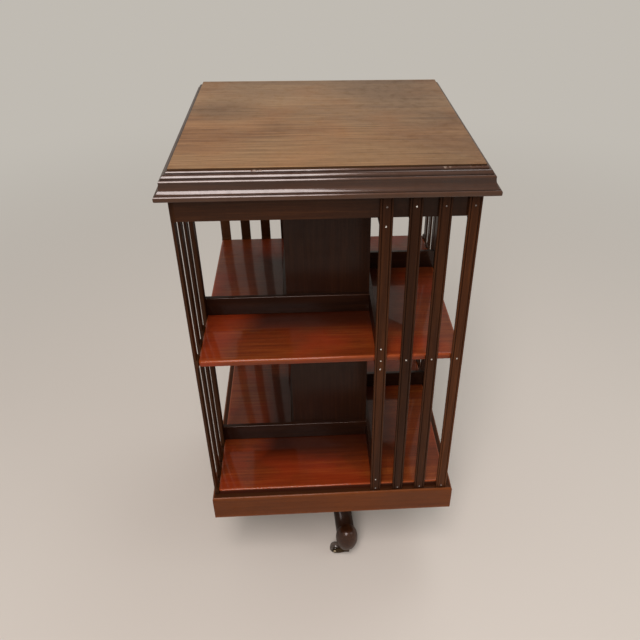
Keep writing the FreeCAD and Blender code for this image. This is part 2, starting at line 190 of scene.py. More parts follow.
class Finish(Nodes):
    """One material. Its patterns read where a point is on the object, in metres."""

    def __init__(self, name, **constants):
        self.material = bpy.data.materials.new(name)
        self.material.use_nodes = True
        super().__init__(self.material.node_tree)
        self.shader = self.tree.nodes["Principled BSDF"]
        for socket, value in constants.items():
            self.shader.inputs[socket.replace("_", " ")].default_value = value
        self.place = self.node("ShaderNodeTexCoord", {}, {}, "Object")

    def stretched(self, scale, turn=0.0, shift=(0.0, 0.0, 0.0)):
        """The place, turned about Z and then scaled axis by axis."""
        place = self.place
        if turn:
            place = self.node("ShaderNodeMapping", {}, {"Vector": place, "Rotation": (0.0, 0.0, turn)})
        return self.node("ShaderNodeMapping", {}, {"Vector": place, "Scale": scale, "Location": shift})

    def noise(self, place, scale=1.0, detail=3.0, roughness=0.55, distortion=0.0):
        """Cloudy noise from 0 to 1, with one cloud about every 1 / scale metres."""
        return self.node("ShaderNodeTexNoise", {}, {"Vector": place, "Scale": scale, "Detail": detail,
                                                    "Roughness": roughness, "Distortion": distortion})

    def patch(self, centre, radius):
        """1 at a point in space and smoothly down to 0 at a distance from it, in metres."""
        away = self.node("ShaderNodeVectorMath", {"operation": "DISTANCE"},
                         {0: self.place, 1: centre}, "Value")
        return 1 - away.between(0.0, radius)

    def inwards(self, near, far):
        """1 where the larger of |x| and |y| is under near, and smoothly down to 0 at far, in metres."""
        x, y = (abs(self.node("ShaderNodeSeparateXYZ", {}, {0: self.place}, axis)) for axis in "XY")
        return 1 - x.larger(y).between(near, far)

    def facing_away(self):
        """0 where the surface faces the eye and 1 where it's seen edge on."""
        return self.node("ShaderNodeLayerWeight", {}, {"Blend": 0.5}, "Facing")

    def mark(self, name):
        """A number stored on the mesh's points, such as how worn they are; 0 where there is none."""
        return self.node("ShaderNodeAttribute", {"attribute_name": name}, {}, "Fac")

    def ramp(self, factor, stops):
        """A colour that runs through the stops as the factor goes from 0 to 1."""
        return self.node("ShaderNodeValToRGB", {"stops": stops}, {0: factor})

    def blend(self, factor, first, second, mode="MIX"):
        """The first colour, changed towards the second by the factor."""
        first, second = (c if isinstance(c, Value) else (*c, 1.0) for c in (first, second))
        return self.node("ShaderNodeMix", {"data_type": "RGBA", "blend_type": mode},
                         {0: factor, 6: first, 7: second}, 2)

    def grey(self, value):
        """The same number in all three channels of a colour."""
        return self.node("ShaderNodeCombineColor", {}, {0: value, 1: value, 2: value})

    def wear(self, **sockets):
        """Links patterns to the shader's sockets."""
        for name, value in sockets.items():
            self.tree.links.new(value.socket, self.shader.inputs[name.replace("_", " ")])

    def bump(self, height, distance, normal=None):
        """A surface that rises with the height by up to the distance, in metres."""
        below = {} if normal is None else {"Normal": normal}
        return self.node("ShaderNodeBump", {},
                         {"Height": height, "Distance": distance, "Strength": 1.0, **below})


print("shader tools ready")

# %% [markdown]
# ## Light, floor and air
#
# Polished wood shows its form by what it mirrors. A tall soft panel leans over the front left and draws
# long highlights along the mouldings. Two dim ones fill the right and the back. The air is brighter
# overhead than near the floor, so that upright dark wood stays dark. The floor is a plain pale sheet.
# Far from the case it glows by itself, because no lamp reaches that far, and the air behind it has the
# same pale colour for rays that look, so that no horizon shows.

# %% Air and lamps
scene = bpy.context.scene
scene.view_settings.view_transform = "Standard"
scene.world = bpy.data.worlds.new("studio_air")
scene.world.use_nodes = True
air = Nodes(scene.world.node_tree)
air.tree.nodes.remove(air.tree.nodes["Background"])
air_colour = (1.0, 0.98, 0.95, 1.0)
low_strength, high_strength = 0.12, 0.42
floor_colour = (0.66, 0.62, 0.56, 1.0)
far_glow = 0.8


def layer(colour, strength):
    """Air of one colour and strength."""
    return air.node("ShaderNodeBackground", {}, {"Color": colour, "Strength": strength})


way = air.node("ShaderNodeTexCoord", {}, {}, "Generated")
rise = air.node("ShaderNodeSeparateXYZ", {}, {0: way}, "Z")
lighting = air.mixed(rise, layer(air_colour, low_strength), layer(air_colour, high_strength))
air.end(air.mixed(air.shown_rays(), lighting, layer(floor_colour, far_glow)))


def soft_panel(name, place, aim, width, height, radiance, colour):
    """A rectangular lamp at a place, turned to face a point. Its power is radiance * area * pi."""
    lamp = bpy.data.lights.new(name, "AREA")
    lamp.shape = "RECTANGLE"
    lamp.size = width
    lamp.size_y = height
    lamp.energy = radiance * width * height * math.pi
    lamp.color = colour
    back = np.array(place, float) - np.array(aim, float)
    back /= np.linalg.norm(back)
    side = np.cross([0.0, 0.0, 1.0], back)
    side /= np.linalg.norm(side)
    stand(bpy.data.objects.new(name, lamp), (side, np.cross(back, side), back), place)


case_middle = (0, 0, 0.5)
cool = (0.97, 0.98, 1.0)
soft_panel("front_window", (-0.46, -2.45, 3.25), (0, -0.22, 0.87), 1.2, 2.6, 12.0, (1.0, 0.90, 0.88))
soft_panel("right_window", (3.0, -1.4, 2.4), case_middle, 2.0, 2.0, 1.2, cool)
soft_panel("back_window", (1.0, 0.9, 3.6), case_middle, 1.4, 1.4, 2.5, cool)
print("lamps", [lamp.name for lamp in bpy.data.lights])

# %% Floor
floor_half = 40.0
glow_from, glow_full = 0.5, 3.0
floor_mesh = bpy.data.meshes.new("floor")
floor_corners = [(floor_half * x, floor_half * y, 0) for x, y in ((-1, -1), (1, -1), (1, 1), (-1, 1))]
floor_mesh.from_pydata(floor_corners, [], [(0, 1, 2, 3)])
floor = bpy.data.objects.new("floor", floor_mesh)
bpy.context.collection.objects.link(floor)
paint = Finish("pale_floor", Base_Color=floor_colour, Roughness=0.7, Specular_IOR_Level=0.1)
near_paint = Value(paint, paint.shader.outputs[0])
far_paint = paint.node("ShaderNodeEmission", {}, {"Color": floor_colour, "Strength": far_glow})
away = paint.node("ShaderNodeVectorMath", {"operation": "LENGTH"}, {0: paint.place}, "Value")
paint.end(paint.mixed(away.between(glow_from, glow_full) * paint.shown_rays(), near_paint, far_paint))
floor_mesh.materials.append(paint.material)
print("floor of", 2 * floor_half, "m")

# %% [markdown]
# ## Mahogany under french polish
#
# Mahogany has three kinds of mark. Broad soft bands of lighter and darker wood run with the board. Fine
# fibres run the same way, and short dark pores lie between them. Over these is a thin glassy skin of
# shellac, which has gone patchy with handling: it's dull where hands and cloths have been, worn pale
# on the ridges, dark with old wax and painted shade in the grooves, and knocked off at a few chips.
# Painted shade also darkens hidden edges, the parts under overhangs and the shelves near the core.
# Noise that is stretched along the grain makes the first three, noise that isn't makes the dull
# patches, and the numbers `worn`, `chipped` and one for wax and painted shade, stored on the mesh,
# place the rest.

# %% Mahogany
def along(axis, lengthwise, across):
    """Scale factors that stretch a pattern along one axis."""
    return tuple(lengthwise if i == "xyz".index(axis) else across for i in range(3))


def deeper(tones, share):
    """The same three colours, all multiplied by a share."""
    return tuple(tuple(share * c for c in tone) for tone in tones)


ruddy_red = (0.26, 0.022, 0.005)
wax_and_shade_black = (0.007, 0.004, 0.003)
fresh_wood = (0.40, 0.33, 0.27)
shade_from, shade_full = 0.172, 0.105


def mahogany(name, tones, grain="x", turn=0.0, figure=1.0, gloss=0.5, haze=0.08, index=1.5, ruddy=0.0,
             stains=(), dim=0.0):
    """Polished mahogany. tones are its dark, middle and light colours, grain the axis it runs along;
    gloss is how much shellac there is, haze how dull that is; the dark patches, each (centre, radius,
    depth), are stains and on some boards painted shade where the light falls off; and dim is how much
    painted shade darkens the wood near the core, where the shelves lie in shadow."""
    wood = Finish(name, Coat_Roughness=haze, Coat_IOR=index, Coat_Weight=gloss,
                  Specular_IOR_Level=0.2, Specular_Tint=(1.0, 0.45, 0.25, 1.0))
    bands = wood.noise(wood.stretched(along(grain, 1.1, 13.0), turn), 1.0, 4.0, 0.5, 0.7)
    streaks = wood.noise(wood.stretched(along(grain, 8.0, 210.0), turn, (0.3, 0.7, 0.1)),
                         1.0, 4.0, 0.6, 0.25)
    fibres = wood.noise(wood.stretched(along(grain, 22.0, 800.0), turn, (0.1, 0.2, 0.6)), 1.0, 3.0, 0.6)
    pores = wood.noise(wood.stretched(along(grain, 150.0, 1900.0), turn), 1.0, 1.0, 0.5).between(0.62, 0.72)
    clouds = wood.noise(wood.place, 7.0, 3.0, 0.55)
    fine_clouds = wood.noise(wood.place, 60.0, 3.0, 0.6)
    rubbed = (wood.mark("worn") * (0.35 + 1.3 * wood.noise(wood.place, 35.0, 4.0, 0.7)) - 0.18).held()
    grime_and_shade = wood.mark("grimed").held()

    shade = (bands - 0.5) * 1.1 * figure + (streaks - 0.5) * 1.4 * figure + (fibres - 0.5) * 0.4 + 0.5
    dark, middle, light = tones
    colour = wood.ramp(shade.held(), [(0.0, dark), (0.5, middle), (1.0, light)])
    colour = wood.blend(pores * 0.5, colour, tuple(0.4 * c for c in dark))
    colour = wood.blend(1.0, colour, wood.grey(0.68 + 0.64 * clouds), "MULTIPLY")
    if ruddy:
        colour = wood.blend(clouds.between(0.42, 0.62) * ruddy, colour, ruddy_red)
    # Dark patches: stains, and on some boards painted shade where the light falls off.
    for centre, radius, depth in stains:
        stain = wood.patch(centre, radius) * (0.4 + 1.2 * fine_clouds) * depth
        colour = wood.blend(stain.held(), colour, tuple(0.45 * c for c in dark))
    # Painted shade near the core, where the shelves lie in the shadow of the board above.
    if dim:
        shaded = (wood.inwards(shade_full, shade_from) * (0.7 + 0.6 * clouds) * dim).held()
        colour = wood.blend(shaded, colour, tuple(0.3 * c for c in dark))
    pale = tuple(1.9 * c + more for c, more in zip(middle, (0.028, 0.015, 0.006)))
    colour = wood.blend(rubbed * 0.7, colour, pale)
    # Near black where marked: old wax in the grooves, and painted shade in grooves, on hidden edges and
    # under overhangs.
    colour = wood.blend(grime_and_shade * 0.85, colour, wax_and_shade_black)
    chipped = (wood.mark("chipped") * (0.4 + 1.4 * wood.noise(wood.place, 260.0, 4.0, 0.7)) - 0.25).held()
    colour = wood.blend(chipped, colour, fresh_wood)
    edge_on = wood.facing_away()

    handled = fine_clouds.between(0.45, 0.75) * 0.5 + clouds.between(0.4, 0.7) * 0.5
    wood.wear(Base_Color=colour,
              Roughness=0.42 + 0.18 * handled + rubbed * 0.12 + grime_and_shade * 0.2,
              Coat_Weight=(gloss * (1 - handled * 0.3 - rubbed * 0.35 - grime_and_shade * 0.6 - chipped)
                           * (1 - edge_on * edge_on * 0.85)).held())
    ripple = wood.bump(wood.noise(wood.place, 26.0, 2.0, 0.5), 0.00020)
    wood.wear(Normal=wood.bump(fibres * 0.5 - pores * 0.6, 0.00005, ripple))
    return wood.material


dark_tones = ((0.012, 0.0038, 0.0015), (0.025, 0.0080, 0.0027), (0.052, 0.0180, 0.0060))
slat_tones = ((0.018, 0.0054, 0.0016), (0.044, 0.0130, 0.0034), (0.088, 0.0270, 0.0070))
plinth_tones = ((0.060, 0.0145, 0.0026), (0.100, 0.0245, 0.0042), (0.142, 0.0395, 0.0072))
top_tones = ((0.120, 0.0600, 0.0230), (0.236, 0.1290, 0.0540), (0.325, 0.1920, 0.0880))
floor_tones = ((0.052, 0.0090, 0.0022), (0.150, 0.0255, 0.0048), (0.270, 0.0690, 0.0120))
# Painted shade: the core and the rails against it take the same mahogany made far darker, for the shadow
# deep inside the shelves.
shaded_core_tones = ((0.005, 0.0016, 0.0007), (0.011, 0.0034, 0.0014), (0.024, 0.0080, 0.0029))
sides = ("front", "right", "back", "left")
side_grain = dict(zip(sides, "xyxy"))
base_turn = math.radians(8.4)
# The three broad patches, at the right front and along the back, are painted shade where the light falls
# off; the smaller ones are stains.
top_stains = [((x, y, 0.88), radius, depth) for x, y, radius, depth in (
    (0.15, 0.10, 0.16, 0.45), (-0.17, 0.06, 0.10, 0.40), (-0.08, -0.05, 0.05, 0.30),
    (0.21, -0.02, 0.07, 0.30), (0.26, -0.14, 0.26, 0.50), (0.10, 0.26, 0.26, 0.50),
    (-0.16, 0.27, 0.20, 0.40))]

slat_shares = {"front": (0.76, 0.44, 0.62, 1.30), "right": (0.70, 0.55, 0.80, 0.60),
               "back": (0.60, 0.80, 0.55, 0.70), "left": (0.70, 0.60, 0.50, 0.55)}
slat_woods = {share: mahogany("slat_mahogany_%d" % round(100 * share), deeper(slat_tones, share), "z",
                              figure=1.1, gloss=0.12, haze=0.16)
              for share in sorted(set(sum(slat_shares.values(), ())))}


def both_ways(name, tones, **rest):
    """Two finishes of one wood, with the grain along X and along Y."""
    return {g: mahogany("%s_mahogany_%s" % (name, g), tones, g, **rest) for g in "xy"}


edge_wood = both_ways("moulding", dark_tones, gloss=1.0, haze=0.12, index=1.6)
# Painted shade: the front of the frieze grows darker towards its right end, where the light falls off.
frieze_shade = ((0.14, -0.19, 0.82), 0.16, 1.2)
frieze_wood = both_ways("frieze", dark_tones, gloss=0.25, haze=0.14, stains=[frieze_shade])
plinth_wood = both_ways("plinth", plinth_tones, figure=0.7, gloss=0.25, haze=0.18)
shaded_stop_wood = both_ways("stop", shaded_core_tones, gloss=0.35, haze=0.12)
leg_wood = both_ways("leg", dark_tones, turn=-base_turn, figure=1.1, gloss=0.7, haze=0.22)
top_wood = mahogany("top_mahogany", top_tones, figure=1.45, gloss=0.35, haze=0.26, ruddy=0.08,
                    stains=top_stains)
shelf_wood = mahogany("shelf_mahogany", floor_tones, figure=0.8, gloss=0.5, ruddy=0.45, dim=0.9)
shaded_core_wood = mahogany("core_mahogany", shaded_core_tones, "z", gloss=0.3, haze=0.2)
print("mahogany finishes made")

# %% [markdown]
# ## Bare wood and metals
#
# Under the case nobody polished anything. The bearer, the blocks and the sub-top are dusty bare pine.
# The spider and the plates are black cast iron with a pebbled skin and rust in places, the spindle is
# turned steel with oil on it, and the castor forks are brass gone brown everywhere except at the ends
# of the axles. The brads are iron with silver heads, and the castor wheels have a dark glaze.

# %% Pine, iron, steel and brass
def bare_pine(name):
    """Unpolished softwood: yellow-brown bands along X under a grey dusting."""
    wood = Finish(name, Specular_IOR_Level=0.25)
    rings = wood.noise(wood.stretched((1.5, 70.0, 70.0)), 1.0, 3.0, 0.5, 0.8)
    dust_and_shade = wood.noise(wood.place, 14.0, 4.0, 0.6)
    colour = wood.ramp(rings, [(0.3, (0.23, 0.125, 0.055)), (0.55, (0.36, 0.225, 0.11)),
                               (0.75, (0.27, 0.15, 0.07))])
    colour = wood.blend(dust_and_shade.between(0.45, 0.8) * 0.6, colour, (0.17, 0.14, 0.11))
    wood.wear(Base_Color=colour, Roughness=0.65 + 0.25 * dust_and_shade)
    wood.wear(Normal=wood.bump(rings, 0.0002))
    return wood.material


def old_iron(name):
    """Cast iron: a dark pebbled skin, browner where rust has started."""
    iron = Finish(name)
    pebbles = iron.noise(iron.place, 450.0, 3.0, 0.6)
    rust = iron.noise(iron.place, 38.0, 5.0, 0.65).between(0.5, 0.72)
    colour = iron.blend(rust * 0.8, (0.075, 0.072, 0.070), (0.13, 0.052, 0.024))
    iron.wear(Base_Color=colour, Roughness=0.48 + 0.35 * rust, Metallic=0.9 - 0.75 * rust)
    iron.wear(Normal=iron.bump(pebbles, 0.00025))
    return iron.material


def turned_steel(name):
    """Lathe-turned steel: fine rings up its length, with a film of brown oil."""
    steel = Finish(name, Metallic=1.0)
    rings = steel.noise(steel.stretched((20.0, 20.0, 2600.0)), 1.0, 2.0, 0.5)
    oil = steel.noise(steel.place, 60.0, 4.0, 0.6).between(0.35, 0.75)
    steel.wear(Base_Color=steel.blend(oil * 0.6, (0.42, 0.40, 0.38), (0.16, 0.11, 0.07)),
               Roughness=0.28 + 0.14 * rings + 0.12 * oil)
    steel.wear(Normal=steel.bump(rings, 0.00003))
    return steel.material


def brown_brass(name):
    """Brass that is brown with age in the open and bright where it's rubbed."""
    brass = Finish(name, Metallic=1.0)
    patches = brass.noise(brass.place, 120.0, 5.0, 0.65)
    bright = (brass.mark("worn") * (0.3 + patches) - 0.1).held()
    skin = brass.ramp(patches, [(0.3, (0.030, 0.019, 0.011)), (0.6, (0.075, 0.048, 0.022)),
                                (0.8, (0.14, 0.09, 0.04))])
    brass.wear(Base_Color=brass.blend(bright, skin, (0.70, 0.60, 0.42)),
               Roughness=0.5 - 0.28 * bright + 0.12 * patches)
    brass.wear(Normal=brass.bump(patches, 0.0001))
    return brass.material


def rubbed_brads(name):
    """Iron heads, silver where their mark `worn` is 1 and brown with old polish where it is 0."""
    metal = Finish(name)
    specks = metal.noise(metal.place, 900.0, 3.0, 0.6)
    bare = metal.mark("worn").held()
    silver = metal.ramp(specks, [(0.25, (0.35, 0.33, 0.30)), (0.5, (0.86, 0.84, 0.80))])
    metal.wear(Base_Color=metal.blend(bare, (0.045, 0.020, 0.012), silver),
               Metallic=bare, Roughness=0.45 - 0.15 * bare + 0.15 * specks)
    return metal.material


def glazed_wheel(name):
    """A dark brown glaze, scuffed to a dull grey-brown around the tread."""
    glaze = Finish(name, Coat_Weight=0.8, Coat_Roughness=0.08)
    scuffs = glaze.noise(glaze.place, 260.0, 5.0, 0.7)
    rubbed = (glaze.mark("worn") * (0.2 + 1.2 * scuffs)).held()
    colour = glaze.ramp(scuffs, [(0.3, (0.018, 0.011, 0.008)), (0.7, (0.05, 0.03, 0.02))])
    glaze.wear(Base_Color=glaze.blend(rubbed, colour, (0.13, 0.10, 0.08)), Roughness=0.3 + 0.4 * rubbed)
    glaze.wear(Normal=glaze.bump(scuffs, 0.00006))
    return glaze.material


pine = bare_pine("dusty_pine")
iron = old_iron("cast_iron_skin")
steel = turned_steel("turned_steel")
brass = brown_brass("brown_brass")
brad_metal = rubbed_brads("bright_brads")
wheel_glaze = glazed_wheel("wheel_glaze")
print("finishes in all", len(bpy.data.materials))

# %% [markdown]
# ## From arrays to pieces
#
# Every new piece here is a closed tube in one way or another: a row of rings, each ring with the same
# number of points, and a flat cap at both ends. A slat is its outline carried up, a leg is a row of
# cross-sections, and a turned toe is a row of circles. So one function turns an array of rings into a
# mesh, and the shapes themselves stay pure numpy.

# %% Rings to mesh
def turned(points, angle, shift=(0.0, 0.0, 0.0)):
    """The points turned about Z by an angle in radians, then moved. Quarter turns come out exact."""
    c, s = round(math.cos(angle), 15), round(math.sin(angle), 15)
    x, y, z = np.moveaxis(np.asarray(points, float), -1, 0)
    return np.stack([c * x - s * y, s * x + c * y, z], -1) + shift


def quarter_turned(points, quarter):
    """The points turned about Z by so many quarters of a turn."""
    return turned(points, quarter * math.pi / 2)


def corners(node):
    """The low and the high corner of a node's box."""
    return np.array(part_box(node))


def ring_faces(rings, points, start=0):
    """Four-sided faces between neighbouring rings, and the two end caps, as lists of point numbers."""
    i, j = np.meshgrid(np.arange(rings - 1), np.arange(points), indexing="ij")
    here = start + i * points + j
    beside = start + i * points + (j + 1) % points
    quads = np.stack([here, beside, beside + points, here + points], -1).reshape(-1, 4)
    first = np.arange(points)[::-1] + start
    last = np.arange(points) + start + (rings - 1) * points
    return quads.tolist() + [first.tolist(), last.tolist()]


def make_piece(name, shells, body, finish, replaced=(), crease=35.0, marks=None):
    """One object from closed shells, each an array of rings by points by xyz, with marks on its points:
    a number for every point, in the same order."""
    vertices = []
    faces = []
    count = 0
    for shell in shells:
        faces += ring_faces(shell.shape[0], shell.shape[1], count)
        vertices.append(shell.reshape(-1, 3))
        count += shell.shape[0] * shell.shape[1]
    mesh = bpy.data.meshes.new(name)
    mesh.from_pydata(np.concatenate(vertices).tolist(), [], faces)
    for mark, values in (marks or {}).items():
        layer = mesh.attributes.new(mark, "FLOAT", "POINT")
        layer.data.foreach_set("value", np.concatenate([np.ravel(v) for v in values]).astype(np.float32))
    work = bmesh.new()
    work.from_mesh(mesh)
    bmesh.ops.remove_doubles(work, verts=work.verts, dist=1e-6)
    bmesh.ops.recalc_face_normals(work, faces=work.faces)
    work.to_mesh(mesh)
    work.free()
    mesh.shade_smooth()
    mesh.set_sharp_from_angle(angle=math.radians(crease))
    mesh.materials.append(finish)
    thing = bpy.data.objects.new(name, mesh)
    bpy.context.collection.objects.link(thing)
    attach(thing, body)
    if replaced:
        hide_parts(*replaced)
    return thing


def bends(outline, reach):
    """How far a closed anticlockwise outline turns near each point, in radians: plus on ridges, minus in
    grooves. The turn at every point is spread over its neighbours by exp(-(distance / reach)^2)."""
    step = np.roll(outline, -1, 0) - outline
    length = np.linalg.norm(step, axis=1)
    heading = np.arctan2(step[:, 1], step[:, 0])
    turn = (heading - np.roll(heading, 1) + np.pi) % (2 * np.pi) - np.pi
    turn[(length < 1e-9) | (np.roll(length, 1) < 1e-9)] = 0.0
    place = np.concatenate([[0.0], np.cumsum(length)])
    away = np.abs(place[:-1, None] - place[None, :-1])
    away = np.minimum(away, place[-1] - away)
    return np.exp(-(away / reach) ** 2) @ turn


def wear_marks(outline, stations, reach=0.0009):
    """The ridges' worn marks and the grooves' wax and painted shade, repeated at every station."""
    bend = bends(outline, reach)
    return {"worn": np.tile(np.clip(bend / 1.3, 0, 1), (stations, 1)),
            "grimed": np.tile(np.clip(-bend / 1.1, 0, 1), (stations, 1))}


print("ring tools ready")

# %% [markdown]
# ## Outlines
#
# A moulding is drawn as a draughtsman would: straight stretches and round ones, one after another.
# The same small pen draws the slats, the plinth and the moulded edge of the top.

# %% A pen for outlines
class Pen:
    """Draws an outline point by point, in metres."""

    def __init__(self, x, y):
        self.points = [(x, y)]

    def line(self, dx, dy, pieces=1):
        """A straight stretch."""
        x, y = self.points[-1]
        for i in range(1, pieces + 1):
            self.points.append((x + dx * i / pieces, y + dy * i / pieces))
        return self

    def to(self, x, y, pieces=1):
        """A straight stretch to a point."""
        return self.line(x - self.points[-1][0], y - self.points[-1][1], pieces)

    def rubbed(self, radius, flat, slope=34.0, end=0.0):
        """A round worn flat across its shoulder: an arc, a straight facet at the slope, and on."""
        a = math.radians(slope)
        self.round(radius, radius, 90, slope, 6).line(flat * math.sin(a), -flat * math.cos(a))
        return self.round(radius, radius, slope, end, 6)

    def quirk(self, fall, step, fillet=0.00025):
        """The sunk line between two members: straight down, a tiny hollow, and level out again."""
        return self.line(0, fillet - fall).round(-fillet, fillet, 0, -90, 3).line(step - fillet, 0)

    def round(self, radius_x, radius_y, start, end, pieces=8):
        """Part of an ellipse from one angle to another: x = rx cos(angle), y = ry sin(angle)."""
        x, y = self.points[-1]
        a, b = math.radians(start), math.radians(end)
        cx, cy = x - radius_x * math.cos(a), y - radius_y * math.sin(a)
        for i in range(1, pieces + 1):
            t = a + (b - a) * i / pieces
            self.points.append((cx + radius_x * math.cos(t), cy + radius_y * math.sin(t)))
        return self

    def outline(self):
        """The points as an array, anticlockwise, without repeats."""
        points = np.array(self.points)
        keep = np.linalg.norm(points - np.roll(points, 1, 0), axis=1) > 1e-7
        points = points[keep]
        x, y = points.T
        area = np.sum(x * np.roll(y, -1) - y * np.roll(x, -1))
        return points if area > 0 else points[::-1]


print("a 4 mm round has", len(Pen(0, 0).round(0.004, 0.004, 0, 90).points), "points")

# %% [markdown]
# ## The moulded edge of the top
#
# The edge is what the eye meets first. Just below the flat of the top it falls in five members: a thin
# round bead, a fuller round, a small bead, a tall hollow, and a lip with a plain brown face. Sharp
# little steps, the quirks, part them, and each step makes a dark line. Four lengths meet in mitres. A
# mitred bar is simple to write: every point of its outline that lies further out also runs further
# along, so x is the point's own distance from the axis times a number from -1 to 1.

# %% Moulding outline
mm = 0.001
panel_low, panel_high = corners("top_panel")
edge_low, edge_high = corners("top_moulding_front")
panel_half = panel_high[0]
top_level = panel_high[2]
edge_half = -edge_low[1]
seat = panel_half + edge_high[1]
arris = 0.35 * mm
ridge_depth = 4.5 * mm


def moulding_outline():
    """The section as (out, up), out from the turning axis. It starts a little below the flat."""
    pen = Pen(panel_half + 0.02 * mm, top_level - 2.7 * mm)
    pen.line(0.2 * mm, 0).rubbed(1.85 * mm, 0.8 * mm).quirk(0.9 * mm, 1.28 * mm)
    pen.rubbed(4.7 * mm, 0.8 * mm).quirk(0.9 * mm, 1.2 * mm).rubbed(1.7 * mm, 1.1 * mm, end=-18)
    pen.to(panel_half + 12.1 * mm, top_level - 15.6 * mm).line(0.2 * mm, 0)
    pen.round(-7.5 * mm, 15.4 * mm, 0, -75, 16).to(panel_half + 17.9 * mm, top_level - 30.6 * mm)
    pen.quirk(1.0 * mm, 1.25 * mm).rubbed(1.3 * mm, 0.9 * mm).line(0, -3.75 * mm, 2)
    pen.round(2.5 * mm, 2.5 * mm, 0, -90, 8)
    back = panel_half - seat + arris
    pen.to(back, pen.points[-1][1], 4).to(back, panel_low[2]).to(panel_half, panel_low[2])
    return pen.outline()


edge_outline = moulding_outline()
print("moulding section", np.round((edge_outline.max(0) - edge_outline.min(0)) / mm, 2), "mm,",
      len(edge_outline), "points")

# %% Moulded edge, four lengths
chips = {"front": ((-0.102, 1.0), (-0.094, 0.8), (-0.03, 0.35), (0.160, 1.0), (0.167, 0.8), (0.196, 0.6)),
         "right": ((-0.12, 0.6), (0.15, 0.5)), "back": ((0.05, 0.5),), "left": ((0.10, 0.6), (-0.17, 0.4))}


def mitred_bar(outline, stations, trim=0.0):
    """A bar on the front side whose ends are mitred: (t * (out - trim), -out, up) for t from -1 to 1."""
    t = np.linspace(-1, 1, stations)[:, None]
    out, up_ = outline.T
    return np.stack([t * (out - trim), np.broadcast_to(-out, (stations, len(out))),
                     np.broadcast_to(up_, (stations, len(up_)))], -1)


def knocked(bar, marks, spots, level, depth=0.0009, width=0.0028):
    """Small bites in the upper ridge: each takes depth * size * exp(-(distance / width)^2) off the
    points near the top, inwards and down, roughened by two waves, and marks them as worn."""
    x, y, z = np.moveaxis(bar, -1, 0)
    near_top = np.clip(1.6 - (level - z) / ridge_depth, 0, 1) * (y < -(panel_half + 0.5 * mm))
    for place, size in spots:
        bite = size * np.exp(-((x - place) / width) ** 2) * near_top
        ragged = 0.6 + 0.4 * np.sin(x * 4100.0) * np.sin(x * 1730.0 + 1.0)
        bar[..., 1] += depth * bite * ragged
        bar[..., 2] -= 0.6 * depth * bite * ragged
        marks["worn"] = np.maximum(marks["worn"], np.clip(1.6 * bite, 0, 1))
        marks["chipped"] = np.maximum(marks.get("chipped", 0.0), np.clip(1.5 * bite - 0.4, 0, 1))


for quarter, side in enumerate(sides):
    bar = mitred_bar(edge_outline, 181, 0.12 * mm)
    marks = wear_marks(edge_outline, len(bar))
    # Painted shade: the drop below the flat and the hidden back are made near black, for the dark line under
    # the flat's edge.
    marks["grimed"] = np.maximum(marks["grimed"], edge_outline[:, 0] < panel_half + 0.4 * mm)
    lip = (edge_outline[:, 0] > edge_half - 4.0 * mm) & (edge_outline[:, 1] < top_level - 33.0 * mm)
    marks["worn"] = np.maximum(marks["worn"], 0.75 * lip)
    knocked(bar, marks, chips[side], top_level)
    make_piece("moulded_edge_" + side, [quarter_turned(bar, quarter)], "case",
               edge_wood[side_grain[side]], ["top_moulding_" + side], marks=marks)
print("moulded edge reaches", round(edge_outline[:, 0].max(), 5), "of", round(edge_half, 5))

# %% [markdown]
# ## Boards with rounded edges
#
# The flat of the top and both shelves are square boards. A board's edge is a small outline of how far
# out and how high each point is, and every point of it goes round the square as a ring. So a board
# is again a row of rings: from the rim of its underside out to the edge and back over the top.

# %% Rounded boards
def rounded_square(half, corner, pieces=6):
    """A square ring with round corners: quarter circles about four centres at half - corner."""
    a = np.linspace(0, np.pi / 2, pieces + 1)
    quarter = np.stack([half - corner + corner * np.cos(a), half - corner + corner * np.sin(a)], -1)
    whole = [quarter_turned(np.c_[quarter, np.zeros(len(a))], q)[:, :2] for q in range(4)]
    return np.concatenate(whole)


def board(name, node, finish, under, over, corner, back, grime_and_shade=None, pieces=7):
    """A square board in place of a node, drawn back a hair at its sides, with its lower and upper edges
    rounded by under and over. The last argument is two ring numbers for darkening: none from the first
    ring upwards, and all of it from the second downwards."""
    low, high = corners(node)
    a = np.linspace(0, np.pi / 2, pieces)
    inset = np.concatenate([under * (1 - np.sin(a)), over * (1 - np.cos(a))])
    level = np.concatenate([low[2] + under * (1 - np.cos(a)), high[2] - over * (1 - np.sin(a))])
    rings = []
    for shrink, z in zip(inset, level):
        flat = rounded_square(high[0] - back - shrink, max(corner - shrink, 0.2 * mm))
        rings.append(np.c_[flat, np.full(len(flat), z)])
    marks = {"worn": np.concatenate([np.sin(a) * 0.3, np.sin(2 * a)])}
    if grime_and_shade:
        clean, dark_from = grime_and_shade
        marks["grimed"] = np.clip((clean - np.arange(2 * pieces)) / (clean - dark_from), 0, 1)
    make_piece(name, [np.array(rings)], "case", finish, [node],
               marks={mark: np.repeat(share, len(flat)) for mark, share in marks.items()})


# Painted shade: the flat's side, below its top arris, is made near black for the dark line where it meets
# the moulded edge.
board("flat_top", "top_panel", top_wood, 0.3 * mm, 0.5 * mm, 0.8 * mm, 0.1 * mm, (12, 10))
# The lower shelf is darker below its rounded front nose.
board("lower_shelf", "bottom_shelf", shelf_wood, 0.4 * mm, 4.0 * mm, 5.0 * mm, 0.05 * mm,
      (10, 8))
board("upper_shelf", "mid_shelf", shelf_wood, 3.0 * mm, 4.5 * mm, 5.0 * mm, 0.05 * mm)
print("boards made")

# %% [markdown]
# ## The plinth
#
# The bottom shelf sits on a plain deep frame that stands out a little all round. Its upper edge is
# rounded and rubbed, and its lower one only just broken. The bars are mitred at the corners, so the
# same mitred bar serves again. The ledge that the frame makes round the shelf is darkened.

# %% Plinth
plinth_low, plinth_high = corners("plinth_rail_front")
plinth_out, plinth_in = -plinth_low[1], -plinth_high[1]


